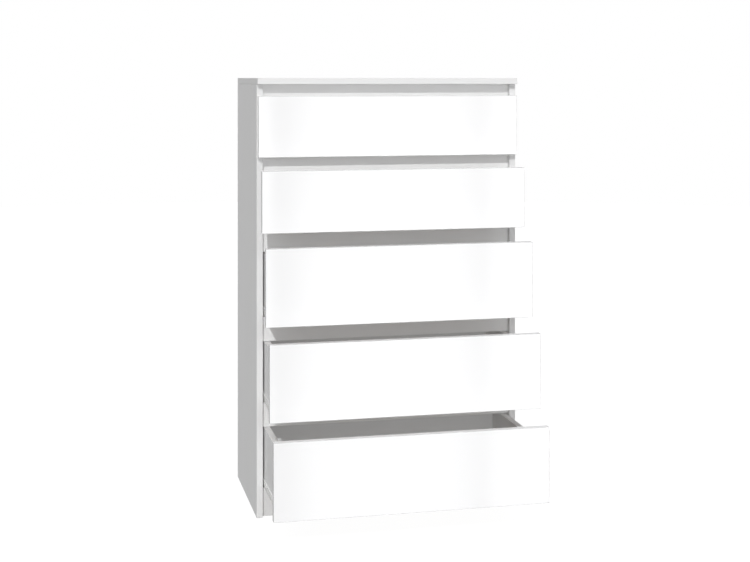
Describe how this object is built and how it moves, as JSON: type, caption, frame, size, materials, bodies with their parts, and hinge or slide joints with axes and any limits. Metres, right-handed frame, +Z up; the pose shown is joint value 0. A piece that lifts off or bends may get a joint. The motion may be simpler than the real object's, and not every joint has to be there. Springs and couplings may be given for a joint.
{
  "type": "tall chest of drawers",
  "caption": "Tall narrow chest with handle-less overlay drawer fronts, recessed rails behind finger gaps, and drawers drawn out in steps on roller slides.",
  "frame": {"origin": "middle of the plinth board's underside, on the floor and on the chest's centre plane", "axes": "+Z up, +Y towards the wall, so the drawers open along -Y, and +X to the right of someone facing the chest"},
  "size_m": [0.7, 0.654, 1.135],
  "materials": {
    "carcass_melamine": "matt white melamine-coated chipboard with matching edge band",
    "front_gloss": "high-gloss white lacquer on fibreboard",
    "drawer_melamine": "matt white melamine-coated chipboard",
    "hardboard": "white-lacquered thin hardboard",
    "slide_steel": "white epoxy-coated folded steel",
    "roller_nylon": "natural white nylon",
    "zinc_hardware": "zinc-plated steel"
  },
  "bodies": {
    "carcass": {"left_side_panel": "carcass_melamine", "right_side_panel": "carcass_melamine", "top_panel": "carcass_melamine", "back_panel": "hardboard", "plinth_board": "carcass_melamine", "bottom_panel": "carcass_melamine", "rear_bottom_rail": "carcass_melamine", "rear_top_rail": "carcass_melamine", "front_rail_1": "carcass_melamine", "front_rail_2": "carcass_melamine", "front_rail_3": "carcass_melamine", "front_rail_4": "carcass_melamine", "front_rail_5": "carcass_melamine", "cabinet_slide_1_left": "slide_steel", "cabinet_slide_1_right": "slide_steel", "cabinet_slide_2_left": "slide_steel", "cabinet_slide_2_right": "slide_steel", "cabinet_slide_3_left": "slide_steel", "cabinet_slide_3_right": "slide_steel", "cabinet_slide_4_left": "slide_steel", "cabinet_slide_4_right": "slide_steel", "cabinet_slide_5_left": "slide_steel", "cabinet_slide_5_right": "slide_steel"},
    "drawer_1": {"drawer_1_front": "front_gloss", "drawer_1_left_side": "drawer_melamine", "drawer_1_right_side": "drawer_melamine", "drawer_1_back": "drawer_melamine", "drawer_1_bottom": "hardboard", "drawer_slide_1_left": "slide_steel", "drawer_slide_1_right": "slide_steel"},
    "drawer_2": {"drawer_2_front": "front_gloss", "drawer_2_left_side": "drawer_melamine", "drawer_2_right_side": "drawer_melamine", "drawer_2_back": "drawer_melamine", "drawer_2_bottom": "hardboard", "drawer_slide_2_left": "slide_steel", "drawer_slide_2_right": "slide_steel"},
    "drawer_3": {"drawer_3_front": "front_gloss", "drawer_3_left_side": "drawer_melamine", "drawer_3_right_side": "drawer_melamine", "drawer_3_back": "drawer_melamine", "drawer_3_bottom": "hardboard", "drawer_slide_3_left": "slide_steel", "drawer_slide_3_right": "slide_steel"},
    "drawer_4": {"drawer_4_front": "front_gloss", "drawer_4_left_side": "drawer_melamine", "drawer_4_right_side": "drawer_melamine", "drawer_4_back": "drawer_melamine", "drawer_4_bottom": "hardboard", "drawer_slide_4_left": "slide_steel", "drawer_slide_4_right": "slide_steel"},
    "drawer_5": {"drawer_5_front": "front_gloss", "drawer_5_left_side": "drawer_melamine", "drawer_5_right_side": "drawer_melamine", "drawer_5_back": "drawer_melamine", "drawer_5_bottom": "hardboard", "drawer_slide_5_left": "slide_steel", "drawer_slide_5_right": "slide_steel"}
  },
  "joints": [
    {"name": "drawer_1_slide", "type": "slide", "parent": "carcass", "child": "drawer_1", "axis": [0, -1, 0], "range_m": [0, 0.265]},
    {"name": "drawer_2_slide", "type": "slide", "parent": "carcass", "child": "drawer_2", "axis": [0, -1, 0], "range_m": [-0.063, 0.202]},
    {"name": "drawer_3_slide", "type": "slide", "parent": "carcass", "child": "drawer_3", "axis": [0, -1, 0], "range_m": [-0.126, 0.139]},
    {"name": "drawer_4_slide", "type": "slide", "parent": "carcass", "child": "drawer_4", "axis": [0, -1, 0], "range_m": [-0.189, 0.076]},
    {"name": "drawer_5_slide", "type": "slide", "parent": "carcass", "child": "drawer_5", "axis": [0, -1, 0], "range_m": [-0.252, 0.013]}
  ]
}
